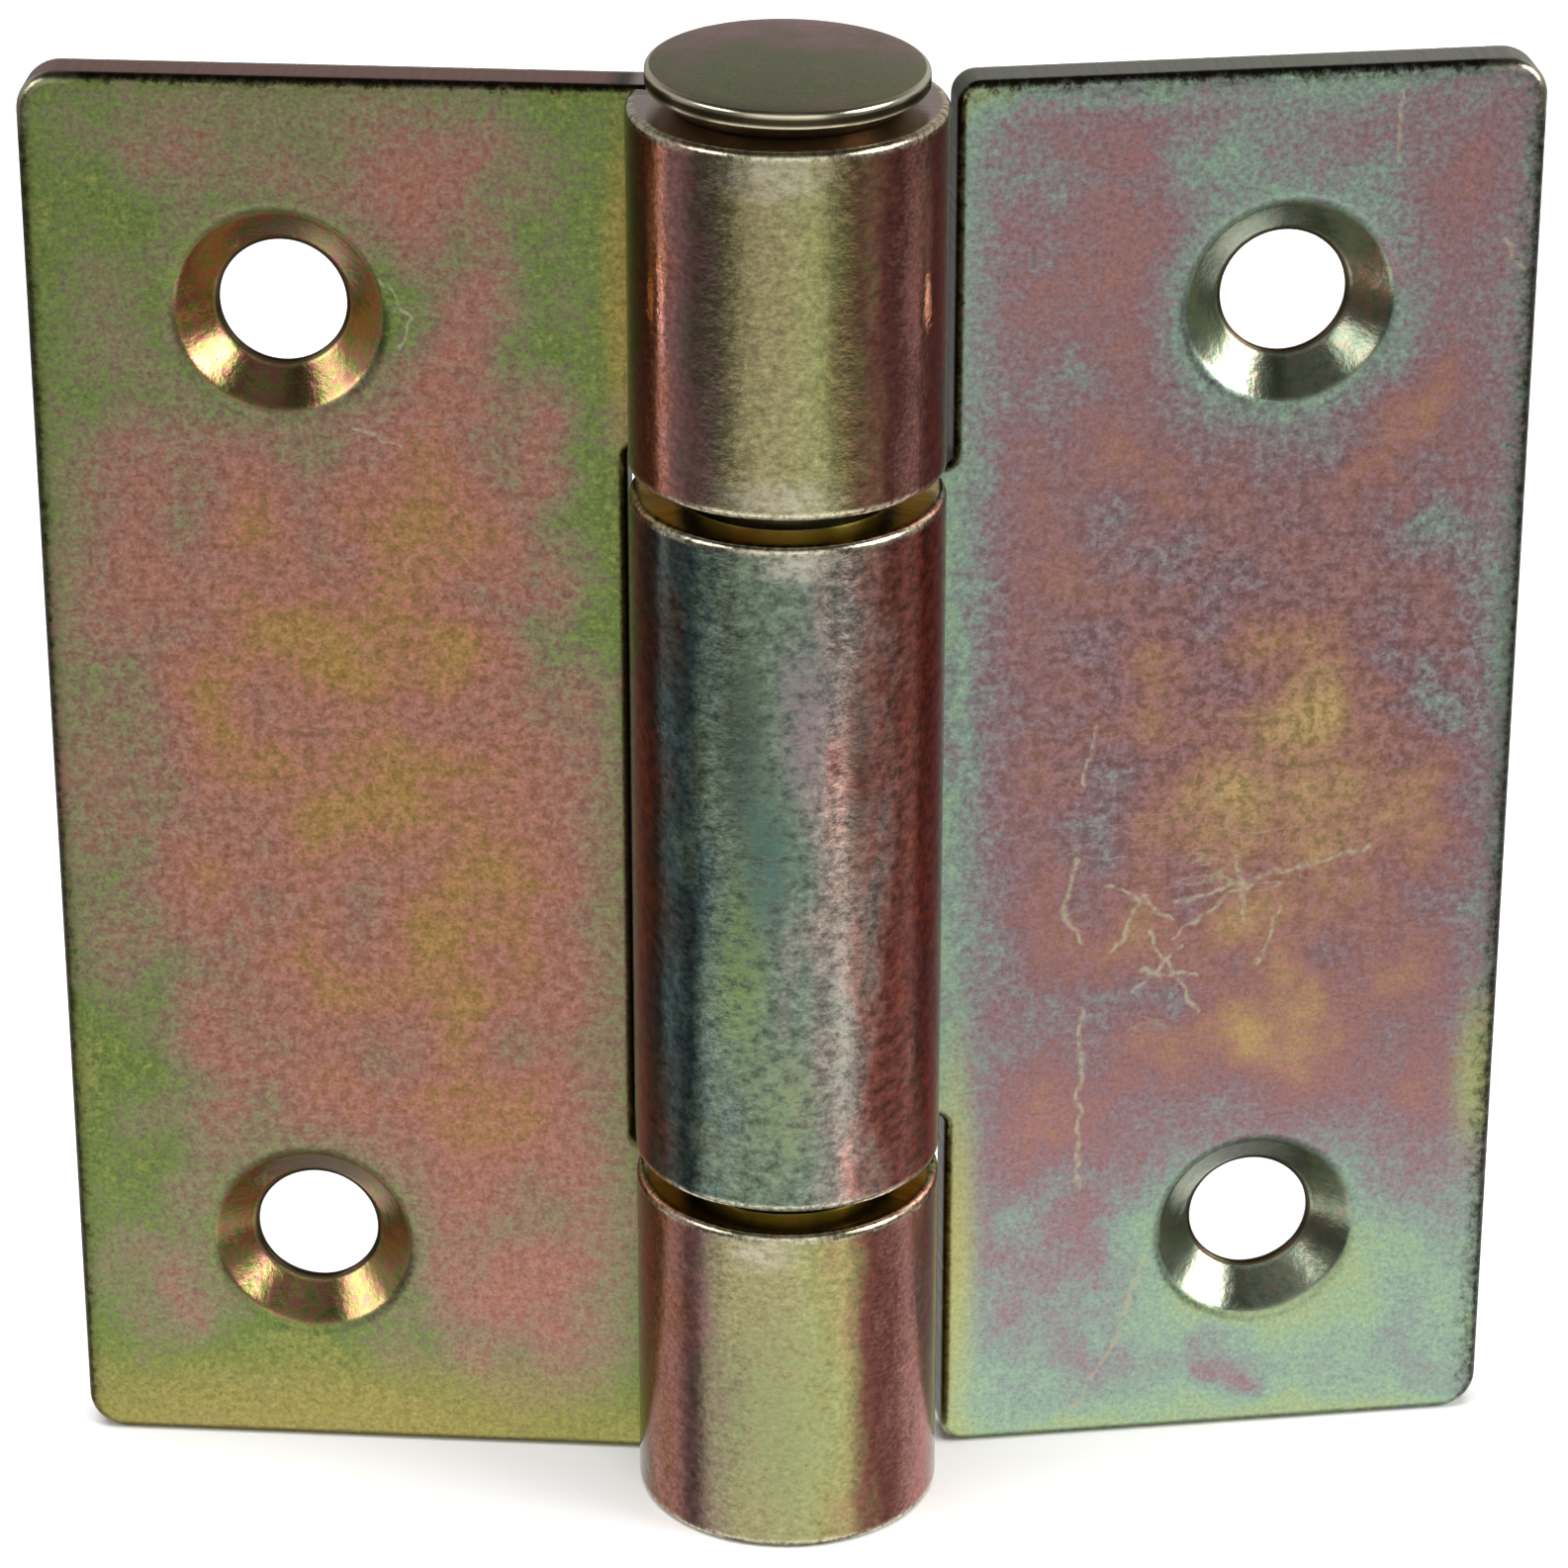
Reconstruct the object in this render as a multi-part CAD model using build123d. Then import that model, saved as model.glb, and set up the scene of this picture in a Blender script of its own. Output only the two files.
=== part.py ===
from build123d import *
import math
import os

# Loose pin butt hinge: two rolled steel leaves that turn about a headed pin.
# Millimetres. The pin's axis is Z, and Z = 0 is the hinge's lower end. The frame leaf runs along -X
# with its countersunk face towards -Y, and the door leaf is stored turned back from flat.

# Driving dimensions of the steel strip and the two leaves
leaf_height = 50.0
leaf_reach = 24.75  # pin axis to a leaf's outer edge
sheet = 1.8
closed_gap = 1.9  # between the two countersunk faces when the hinge is shut
outer_corner_radius = 1.3
inner_corner_radius = 0.8  # the door leaf's free corners beside the barrel
notch_corner_share = 0.9  # of the run from crank to notch, rounded at the roots of the knuckles
edge_roll = 0.36  # rounding that the blanking press leaves on the countersunk side
burr_ease = 0.12  # small chamfer on the sharper edges of the other side and on the rims
rest_fold = 11.85  # degrees that the door leaf is turned back from flat

# Driving dimensions of the rolled knuckles
pin_diameter = 6.5
pin_clearance = 0.08  # radial, pin in knuckle
end_knuckle = 12.2  # length of each of the frame leaf's two knuckles
knuckle_gap = 0.83
leaf_clearance = 0.44  # the door leaf's inner edges to the end knuckles
notch_clearance = 0.15  # the frame leaf's inner edge to the middle knuckle
crank_radius = 1.0  # inside radius where the strip bends back behind the barrel
seam_gap = 0.12  # the rolled end to the face it closes on

# Driving dimensions of the screw holes
screw_hole_diameter = 4.4
countersink_diameter = 7.0
countersink_angle = 90.0
screw_edge_distance = 8.2  # hole centre to the leaf's outer edge
screw_end_distance = 7.9  # hole centre to the leaf's top or bottom
cutter_overrun = 1.0  # how far the hole's cutter runs past the sheet

# Driving dimensions of the pin
head_diameter = 9.0
head_rise = 1.3  # top of the head above the barrel
head_crown = 0.1
head_round = 0.18  # both edges of the head's rim
under_head_angle = 35.0  # degrees that the head's underside slopes from level
seat_clearance = 0.03  # the sloped underside to the mouth of the upper knuckle
tip_recess = 0.5  # the pin's end above the barrel's lower end
tip_chamfer = 0.7

# Sizes that follow
bore_radius = pin_diameter / 2 + pin_clearance
barrel_radius = bore_radius + sheet
front_face = closed_gap / 2  # behind the pin axis
back_face = front_face + sheet
crank_centre_depth = back_face + crank_radius
crank_centre_reach = math.sqrt((barrel_radius + crank_radius) ** 2 - crank_centre_depth**2)
crank_angle = math.degrees(math.atan2(crank_centre_depth, crank_centre_reach))
roll_end_angle = math.degrees(math.asin((front_face - seam_gap) / barrel_radius))
frame_inner_reach = barrel_radius + notch_clearance
door_inner_reach = barrel_radius + leaf_clearance
notch_corner_radius = notch_corner_share * (min(frame_inner_reach, door_inner_reach) - crank_centre_reach)
middle_knuckle_bottom = end_knuckle + knuckle_gap
middle_knuckle_top = leaf_height - end_knuckle - knuckle_gap
tolerance = 1e-4


def arc_between(centre, radius, start_angle, end_angle):
    """The arc about a centre from one angle to another, in degrees."""
    return CenterArc(centre, radius, start_angle, end_angle - start_angle)


def polar_point(radius, angle):
    """A point of the section at a distance and an angle from the pin's axis."""
    return (radius * math.cos(math.radians(angle)), radius * math.sin(math.radians(angle)))


def knuckle_section():
    """The end of the strip seen along the pin: cranked back, rolled round and closed on the front face."""
    axis = (0, 0)
    crank_centre = (crank_centre_reach, crank_centre_depth)
    roll_end = 360 + roll_end_angle
    outline = [
        arc_between(crank_centre, crank_radius + sheet, 270, 180 + crank_angle),
        arc_between(axis, bore_radius, crank_angle, roll_end),
        Line(polar_point(bore_radius, roll_end), polar_point(barrel_radius, roll_end)),
        arc_between(axis, barrel_radius, roll_end, crank_angle),
        arc_between(crank_centre, crank_radius, 180 + crank_angle, 270),
        Line((crank_centre_reach, back_face), (crank_centre_reach, front_face)),
    ]
    return make_face(outline)


def arcs_of(solid, radii):
    """A solid's round edges that have one of the radii."""
    arcs = solid.edges().filter_by(GeomType.CIRCLE)
    return [arc for arc in arcs if min(abs(arc.radius - radius) for radius in radii) < tolerance]


def make_knuckle(bottom, top):
    """One rolled knuckle between two heights, its mouths and rims eased."""
    knuckle = Pos(Z=bottom) * extrude(knuckle_section(), top - bottom)
    knuckle = chamfer(arcs_of(knuckle, (bore_radius, crank_radius + sheet)), edge_roll)
    return chamfer(arcs_of(knuckle, (barrel_radius, crank_radius)), burr_ease)


def corners_at(outline, reach, heights):
    """The corners of an outline at one reach from the axis and any of the heights."""
    at_reach = [corner for corner in outline.vertices() if abs(corner.X - reach) < tolerance]
    return [corner for corner in at_reach if min(abs(corner.Y - height) for height in heights) < tolerance]


def plate_outline(knuckles, inner_reach):
    """The flat of a leaf seen from the front, with tongues that run into its knuckles."""
    plate_width = leaf_reach - inner_reach
    outline = Pos(inner_reach + plate_width / 2, leaf_height / 2) * Rectangle(plate_width, leaf_height)
    for bottom, top in knuckles:
        tongue = Rectangle(leaf_reach - crank_centre_reach, top - bottom)
        outline += Pos((leaf_reach + crank_centre_reach) / 2, (bottom + top) / 2) * tongue
    ends = (0, leaf_height)
    roots = [height for span in knuckles for height in span if height not in ends]
    outline = fillet(corners_at(outline, leaf_reach, ends), outer_corner_radius)
    outline = fillet(corners_at(outline, inner_reach, roots), notch_corner_radius)
    free_corners = corners_at(outline, inner_reach, ends)
    if free_corners:
        outline = fillet(free_corners, inner_corner_radius)
    return outline


def free_edges(face):
    """A face's edges apart from those where the strip runs on into a knuckle."""
    return [edge for edge in face.edges() if edge.center().X > crank_centre_reach + tolerance]


def make_plate(knuckles, inner_reach):
    """The flat of a leaf, rolled off at its front edges and eased at its back edges."""
    from_back = Plane((0, back_face, 0), x_dir=(1, 0, 0), z_dir=(0, -1, 0))
    plate = extrude(from_back * plate_outline(knuckles, inner_reach), sheet)
    plate = fillet(free_edges(plate.faces().sort_by(Axis.Y)[0]), edge_roll)
    return chamfer(free_edges(plate.faces().sort_by(Axis.Y)[-1]), burr_ease)


def screw_hole(height):
    """The cutter of one countersunk hole, entering from the front face."""
    cone_depth = (countersink_diameter - screw_hole_diameter) / 2
    cone_depth /= math.tan(math.radians(countersink_angle / 2))
    reach = leaf_reach - screw_edge_distance
    from_front = Plane((reach, front_face, height), x_dir=(1, 0, 0), z_dir=(0, 1, 0))
    through = Cylinder(screw_hole_diameter / 2, 2 * (sheet + cutter_overrun))
    cone = Cone(
        countersink_diameter / 2,
        screw_hole_diameter / 2,
        cone_depth,
        align=(Align.CENTER, Align.CENTER, Align.MIN),
    )
    return from_front * (through + cone)


def make_leaf(knuckles, inner_reach):
    """One leaf along +X: the flat and its rolled knuckles in one piece, with countersunk screw holes."""
    leaf = make_plate(knuckles, inner_reach)
    for bottom, top in knuckles:
        leaf += make_knuckle(bottom, top)
    for height in (screw_end_distance, leaf_height - screw_end_distance):
        leaf -= screw_hole(height)
    return leaf


def make_frame_leaf():
    """The leaf with a knuckle at each end, mirrored to run along -X."""
    knuckles = [(0, end_knuckle), (leaf_height - end_knuckle, leaf_height)]
    return mirror(make_leaf(knuckles, frame_inner_reach), Plane.YZ)


def make_door_leaf():
    """The leaf with the middle knuckle, turned back to the stored angle."""
    knuckles = [(middle_knuckle_bottom, middle_knuckle_top)]
    return Rot(Z=rest_fold) * make_leaf(knuckles, door_inner_reach)


def make_pin():
    """The headed pin, its sloped head resting on the rolled mouth of the upper knuckle."""
    radius = pin_diameter / 2
    head_radius = head_diameter / 2
    head_top = leaf_height + head_rise
    rim_top = head_top - head_crown
    slope = math.radians(under_head_angle)
    seat = leaf_height + seat_clearance / math.cos(slope)
    neck = seat - (bore_radius + edge_roll - radius) * math.tan(slope)
    rim_bottom = neck + (head_radius - radius) * math.tan(slope)
    crown_radius = (head_radius**2 + head_crown**2) / (2 * head_crown)
    crown_angle = math.degrees(math.asin(head_radius / crown_radius))
    outline = Polyline(
        (0, head_top),
        (0, tip_recess),
        (radius - tip_chamfer / 2, tip_recess),
        (radius, tip_recess + tip_chamfer),
        (radius, neck),
        (head_radius, rim_bottom),
        (head_radius, rim_top),
    )
    crown = CenterArc((0, head_top - crown_radius), crown_radius, 90 - crown_angle, crown_angle)
    half = make_face([*outline.edges(), crown])
    for height in (rim_bottom, rim_top):
        half = fillet(half.vertices().sort_by_distance((head_radius, height))[0], head_round)
    upright = Plane((0, 0, 0), x_dir=(1, 0, 0), z_dir=(0, -1, 0))
    return revolve(upright * half, Axis.Z)


os.makedirs("parts", exist_ok=True)
pieces = {
    "frame_leaf": make_frame_leaf(),
    "door_leaf": make_door_leaf(),
    "loose_pin": make_pin(),
}
for name, piece in pieces.items():
    export_step(piece, f"parts/{name}.step")
    print(name, len(piece.solids()), "solid", round(piece.volume, 1), "mm3")
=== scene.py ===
# %% [markdown]
# # A loose pin butt hinge in yellow chromate
# Two leaves of rolled steel strip turn about a headed pin that can be drawn out upwards.
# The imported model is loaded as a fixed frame. Its three solids give the sizes, the bodies and
# the joints. Each visible piece is then made again as a clean mesh in the same place.

# %% Load the frame
import math
from functools import partial

import bmesh
import bpy
from mathutils import Matrix, Vector
from mathutils.geometry import delaunay_2d_cdt


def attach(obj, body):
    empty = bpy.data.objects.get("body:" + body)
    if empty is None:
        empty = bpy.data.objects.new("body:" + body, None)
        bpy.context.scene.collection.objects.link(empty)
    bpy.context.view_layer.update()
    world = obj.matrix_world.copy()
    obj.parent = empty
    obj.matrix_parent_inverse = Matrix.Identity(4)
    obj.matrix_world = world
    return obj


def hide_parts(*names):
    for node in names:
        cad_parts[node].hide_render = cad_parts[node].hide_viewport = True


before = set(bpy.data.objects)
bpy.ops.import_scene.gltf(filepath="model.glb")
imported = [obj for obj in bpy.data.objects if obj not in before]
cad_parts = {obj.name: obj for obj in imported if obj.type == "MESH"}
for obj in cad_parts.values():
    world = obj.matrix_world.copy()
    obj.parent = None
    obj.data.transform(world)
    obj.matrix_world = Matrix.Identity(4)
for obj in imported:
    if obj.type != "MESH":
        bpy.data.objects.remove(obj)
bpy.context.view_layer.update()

mm = 0.001
scene = bpy.context.scene
scene.view_settings.view_transform = "Standard"

# %% [markdown]
# ## The camera
# The photograph looks down on the hinge from the front. Straight edges of known length in it give
# the place, the tilt and the focal length. A long lens keeps the two leaves nearly parallel.

# %% Camera
camera_data = bpy.data.cameras.new("photo_camera")
camera_data.sensor_width = 36.0
camera_data.lens = 134.83
camera_data.clip_start = 0.01
camera = bpy.data.objects.new("photo_camera", camera_data)
camera.location = (12.99 * mm, -174.98 * mm, 108.52 * mm)
camera.rotation_euler = (math.radians(90 - 25.08), 0, math.radians(4.284))
scene.collection.objects.link(camera)
scene.camera = camera
print("camera", [round(value, 4) for value in camera.location])

# %% [markdown]
# ## One helper for every node
# Materials and node trees are drawn as graphs. A graph that is written in code stays readable when
# one function adds a node, sets it and joins its inputs. The inputs come in order, or by name where
# only some are meant. A node that calculates also takes the name of its operation. The function
# hands back the first output that the node shows. Below, `add` is this function for one tree.

# %% Node helper
def add_node(tree, kind, inputs=(), operation=None, **settings):
    """Add a node, set its options, fill or link its inputs, and give its first output."""
    node = tree.nodes.new(kind)
    if operation:
        node.operation = operation
    for name, value in settings.items():
        setattr(node, name, value)
    shown = [socket for socket in node.inputs if socket.enabled]
    for key, value in inputs.items() if isinstance(inputs, dict) else enumerate(inputs):
        socket = node.inputs[key] if isinstance(key, str) else shown[key]
        if isinstance(value, bpy.types.NodeSocket):
            tree.links.new(value, socket)
        else:
            socket.default_value = value
    return next((socket for socket in node.outputs if socket.enabled), None)


# %% [markdown]
# ## Sizes of the leaf
# A leaf starts as a flat blank that a press cuts from 1.8 mm strip. Tongues on one side are then
# cranked back and rolled into knuckles. All sizes are in millimetres. `u` runs across the blank
# from the pin towards the outer edge, and below `crank_reach` it is measured along the bent strip.

# %% Leaf sizes
leaf_height = 50.0
leaf_reach = 24.75
sheet = 1.8
face_depth = 0.95
bore_radius = 3.33
barrel_radius = bore_radius + sheet
crank_radius = 1.0
crank_depth = face_depth + sheet + crank_radius
crank_reach = math.sqrt((barrel_radius + crank_radius) ** 2 - crank_depth**2)
roll_start = math.atan2(crank_depth, crank_reach)
crank_bend = math.pi / 2 - roll_start
seam_gap = 0.12
roll_stop = 2 * math.pi + math.asin((face_depth - seam_gap) / barrel_radius)
crank_run = (crank_radius + sheet / 2) * crank_bend
roll_run = (bore_radius + sheet / 2) * (roll_stop - roll_start)
tongue_end = crank_reach - crank_run - roll_run
notch_clearance = 0.15
leaf_clearance = 0.44
frame_inner = barrel_radius + notch_clearance
door_inner = barrel_radius + leaf_clearance
rest_fold = math.radians(11.85)
end_knuckle = 12.2
knuckle_gap = 0.83
frame_knuckles = [(0.0, end_knuckle), (leaf_height - end_knuckle, leaf_height)]
door_knuckles = [(end_knuckle + knuckle_gap, leaf_height - end_knuckle - knuckle_gap)]
screw_heights = (7.9, 42.1)
screw_edge_distance = 8.2
screw_reach = leaf_reach - screw_edge_distance
print("blank is", round(leaf_reach - tongue_end, 2), "mm wide before it is rolled")

# %% [markdown]
# ## The outline of the blank
# The outline is a polygon with rounded corners. Its long edges are divided where the strip will
# bend, because a mesh can only bend where it has vertices.

# %% Bend stations
roll_steps = 150
crank_steps = 10
plate_step = 1.6
end_margin = 0.6


def bend_stations():
    """The places across the blank where the rolled part gets a row of vertices."""
    roll_top = crank_reach - crank_run
    first = tongue_end + end_margin
    rolled = [first + (roll_top - first) * i / roll_steps for i in range(roll_steps)]
    cranked = [roll_top + crank_run * i / crank_steps for i in range(crank_steps + 1)]
    return rolled + cranked


def even_steps(start, stop, step):
    """Even places between two ends, without the ends."""
    count = max(1, round((stop - start) / step))
    return [start + (stop - start) * i / count for i in range(1, count)]


stations = bend_stations() + even_steps(door_inner, leaf_reach, plate_step)
print("rows of vertices across the blank", len(stations))

# %% [markdown]
# The corners are listed in order with their radii: the outer corners of the leaf, the free corners
# beside the barrel, and the small fillets at the roots of the knuckles. Tongues end square.

# %% Corners
outer_corner = 1.3
free_corner = 0.8
notch_corner = 0.39


def blank_corners(knuckles, inner):
    """The corners of a blank in order, each with its radius."""
    corners = [(leaf_reach, 0.0, outer_corner), (leaf_reach, leaf_height, outer_corner)]
    if knuckles[-1][1] < leaf_height:
        corners.append((inner, leaf_height, free_corner))
    for bottom, top in reversed(knuckles):
        if top < leaf_height:
            corners.append((inner, top, notch_corner))
        corners += [(tongue_end, top, 0.0), (tongue_end, bottom, 0.0)]
        if bottom > 0:
            corners.append((inner, bottom, notch_corner))
    if knuckles[0][0] > 0:
        corners.append((inner, 0.0, free_corner))
    return corners


def round_corner(before, corner, after, radius):
    """The points of one corner: the corner itself, or an arc of its radius."""
    here = Vector(corner)
    if radius == 0:
        return [here]
    back = (Vector(before) - here).normalized()
    ahead = (Vector(after) - here).normalized()
    centre = here + (back + ahead) * radius
    steps = 6 + round(5 * radius)
    turns = [math.pi / 2 * i / steps for i in range(steps + 1)]
    return [centre - ahead * radius * math.cos(a) - back * radius * math.sin(a) for a in turns]


# %% [markdown]
# Straight edges across the blank get a point at every bend station. Edges along the height get even
# steps. Insetting the closed outline later gives the rings of the rolled edge.

# %% Outline
same_height = 1e-6
least_step = 0.05


def divided(start, end):
    """The points between two ends of a straight edge."""
    across = abs(start.y - end.y) < same_height
    first, last = (start.x, end.x) if across else (start.y, end.y)
    low, high = sorted((first, last))
    places = stations if across else even_steps(low, high, plate_step)
    inner = [p for p in places if low + least_step < p < high - least_step]
    inner.sort(reverse=last < first)
    return [Vector((p, start.y)) if across else Vector((start.x, p)) for p in inner]


def blank_outline(knuckles, inner):
    """The closed outline of a blank, with the material on its left."""
    corners = blank_corners(knuckles, inner)
    arcs = []
    for i, (u, z, radius) in enumerate(corners):
        before, after = corners[i - 1][:2], corners[(i + 1) % len(corners)][:2]
        arcs.append(round_corner(before, (u, z), after, radius))
    outline = []
    for i, arc in enumerate(arcs):
        outline += arc
        outline += divided(arc[-1], arcs[(i + 1) % len(arcs)][0])
    return outline


def inset_directions(outline):
    """For each point of an outline, the step that moves every edge inwards by one."""
    steps = []
    for i, here in enumerate(outline):
        back = (here - outline[i - 1]).normalized()
        ahead = (outline[(i + 1) % len(outline)] - here).normalized()
        normal = Vector((-back.y - ahead.y, back.x + ahead.x)).normalized()
        steps.append(normal / max(0.5, normal.dot(Vector((-back.y, back.x)))))
    return steps


for knuckles, inner in ((frame_knuckles, frame_inner), (door_knuckles, door_inner)):
    print("outline of", len(blank_outline(knuckles, inner)), "points")

# %% [markdown]
# ## The edge that a press leaves
# A blanking press rolls one edge of the sheet over and leaves the other nearly sharp. The outline
# is repeated at several depths, a little further in or out each time, and the rings are skinned.
# Narrow rings beside each rounding hold the flat faces flat when they are shaded smooth.

# %% Edge profile
edge_roll = 0.36
burr_ease = 0.12
rim_round = 0.24
hold = 0.12
roll_rings = 6
rim_rings = 4


def edge_profile():
    """Rings of the edge from front to back: inset, depth and the edge zone each belongs to."""
    rings = [(edge_roll + hold, 0.0, "face")]
    for i in range(roll_rings + 1):
        turn = math.pi / 2 * i / roll_rings
        zone = "face" if i == 0 else "wall" if i == roll_rings else "roll"
        rings.append((edge_roll * (1 - math.sin(turn)), edge_roll * (1 - math.cos(turn)), zone))
    rings.append((0.0, edge_roll + hold, "wall"))
    rings.append((0.0, sheet - rim_round - hold, "wall"))
    for i in range(rim_rings + 1):
        turn = math.pi / 2 * i / rim_rings
        depth = sheet - rim_round * (1 - math.sin(turn))
        rings.append((rim_round * (1 - math.cos(turn)), depth, "rim"))
    rings.append((rim_round + hold, sheet, "face"))
    return rings


# %% [markdown]
# ## The countersunk hole
# Each hole is punched, and a cone for the screw's head is then sunk into it. The tool leaves a soft
# lip where the cone meets the face and a small shoulder at the throat. Below the shoulder a punched
# hole has a smooth land and then widens a little towards the back.

# %% Hole profile
throat_radius = 2.08
back_radius = 2.22
shoulder_radius = 2.24
shoulder_depth = 1.18
land_depth = 1.28
sink_radius = 3.52
lip_round = 0.7
throat_round = 0.14
lip_steps = 6
face_share = 4  # steps of the lip that still count as the face


def corner_arc(corner, before, after, radius, steps):
    """A rounding between two straight runs of a profile that meet at a corner."""
    back = (before - corner).normalized()
    ahead = (after - corner).normalized()
    half = math.acos(max(-1, min(1, back.dot(ahead)))) / 2
    reach = radius / math.tan(half)
    centre = corner + (back + ahead).normalized() * radius / math.sin(half)
    start, stop = corner + back * reach - centre, corner + ahead * reach - centre
    turn = start.angle_signed(stop)
    return [centre + Matrix.Rotation(-turn * i / steps, 2) @ start for i in range(steps + 1)]


def hole_profile():
    """Rings of a hole from the front face to the back: radius, depth and zone."""
    outside = Vector((sink_radius + 1, 0.0))
    lip = Vector((sink_radius, 0.0))
    shoulder = Vector((shoulder_radius, shoulder_depth))
    throat = Vector((throat_radius, land_depth))
    lip_arc = corner_arc(lip, outside, shoulder, lip_round, lip_steps)
    rings = [(lip_arc[0].x + hold, 0.0, "face"), (lip_arc[0].x, 0.0, "face")]
    rings += [(p.x, p.y, "face" if i < face_share else "sink") for i, p in enumerate(lip_arc[1:])]
    slope = (shoulder - lip_arc[-1]).normalized()
    for p in (lip_arc[-1] + slope * hold, shoulder - slope * hold, shoulder):
        rings.append((p.x, p.y, "sink"))
    edge = (throat - shoulder).normalized() * throat_round / 2
    for p in (shoulder + edge, throat - edge, throat):
        rings.append((p.x, p.y, "bore"))
    return rings + [
        (throat_radius, land_depth + throat_round, "bore"),
        (back_radius, sheet - burr_ease - hold / 4, "bore"),
        (back_radius, sheet - burr_ease, "bore"),
        (back_radius + burr_ease, sheet, "wall"),
        (back_radius + burr_ease + hold, sheet, "face"),
    ]


print("rings of an edge", len(edge_profile()), "rings of a hole", len(hole_profile()))

# %% [markdown]
# ## Rings and meshes
# Every shape here is made of rings of vertices that are joined by quads. A ring also marks its
# zone, such as a rubbed rim or a countersink, in a named attribute that the finish reads later. A
# done mesh is shaded smooth and brought from millimetres to metres.

# %% Rings
def circle(steps):
    """Cosine and sine of even turns round a circle."""
    turns = [2 * math.pi * i / steps for i in range(steps)]
    return [(math.cos(turn), math.sin(turn)) for turn in turns]


def add_ring(mesh, places, layers, zone, amount=1.0):
    """Add one ring of vertices and mark the zone it belongs to."""
    ring = [mesh.verts.new(place) for place in places]
    for vert in ring if zone in layers else ():
        vert[layers[zone]] = amount
    return ring


def skin(mesh, rings):
    """Join closed rings of vertices, one after the other, by quads."""
    for lower, upper in zip(rings, rings[1:]):
        for i in range(len(lower)):
            mesh.faces.new((lower[i - 1], lower[i], upper[i], upper[i - 1]))


def to_data(name, mesh):
    """Shade a mesh smooth, bring it to metres and hand it to Blender."""
    for face in mesh.faces:
        face.smooth = True
    open_edges = sum(not edge.is_manifold for edge in mesh.edges)
    bmesh.ops.scale(mesh, vec=(mm, mm, mm), verts=mesh.verts)
    data = bpy.data.meshes.new(name)
    mesh.to_mesh(data)
    mesh.free()
    print(name, len(data.polygons), "faces", open_edges, "open edges")
    return data


# %% [markdown]
# ## The faces of the blank
# The two faces are filled with a Delaunay mesh: triangles over the edge ring, the hole rings and a
# grid of inner points, so that the tongues can bend evenly. Triangles across a hole are left out.

# %% Faces of the blank
row_step = 2.0


def from_screw(u, z):
    """The distance to the nearer screw hole's axis."""
    return min(math.hypot(u - screw_reach, z - height) for height in screw_heights)


def inner_points(knuckles, inner, clearance):
    """Grid points inside a blank, clear of its edges and holes."""
    points = []
    for bottom, top in knuckles:
        rows = even_steps(bottom, top, row_step)
        rows = [z for z in rows if bottom + clearance < z < top - clearance]
        points += [(u, z) for u in bend_stations() for z in rows]
    for u in even_steps(inner + clearance / 2, leaf_reach, plate_step):
        for z in even_steps(0.0, leaf_height, plate_step):
            inside = clearance < z and leaf_reach - u > clearance
            if inside and from_screw(u, z) > sink_radius + clearance:
                points.append((u, z))
    return points


def fill_face(mesh, edge_ring, hole_rings, grid, depth):
    """Fill one face of the blank between its edge ring and its hole rings, over the grid points."""
    verts, edges = [], []
    for ring in [edge_ring] + hole_rings:
        start = len(verts)
        edges += [(start + i, start + (i + 1) % len(ring)) for i in range(len(ring))]
        verts += ring
    verts += [mesh.verts.new((u, depth, z)) for u, z in grid]
    flat = [Vector((vert.co.x, vert.co.z)) for vert in verts]
    hole_radius = hole_rings[0][0].co.x - screw_reach
    triangles, origins = delaunay_2d_cdt(flat, edges, [], 1, 1e-5)[2:4]
    for triangle in triangles:
        corners = [verts[origins[i][0]] for i in triangle]
        u, _, z = sum((corner.co for corner in corners), Vector()) / 3
        if from_screw(u, z) > hole_radius:
            mesh.faces.new(corners)


# %% [markdown]
# ## The flat blank as a mesh
# Edge rings, hole rings and faces together make the blank. Each vertex keeps its place on the flat
# blank in a UV map, so that film, grain and wear follow the strip round the roll.

# %% Blank mesh
zones = ("roll", "wall", "rim", "sink", "bore")
hole_steps = 96
grid_clearance = 1.0
roll_mark = 0.3  # how strongly the rolled edge is marked where it starts
uv_span = 50.0


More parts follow.
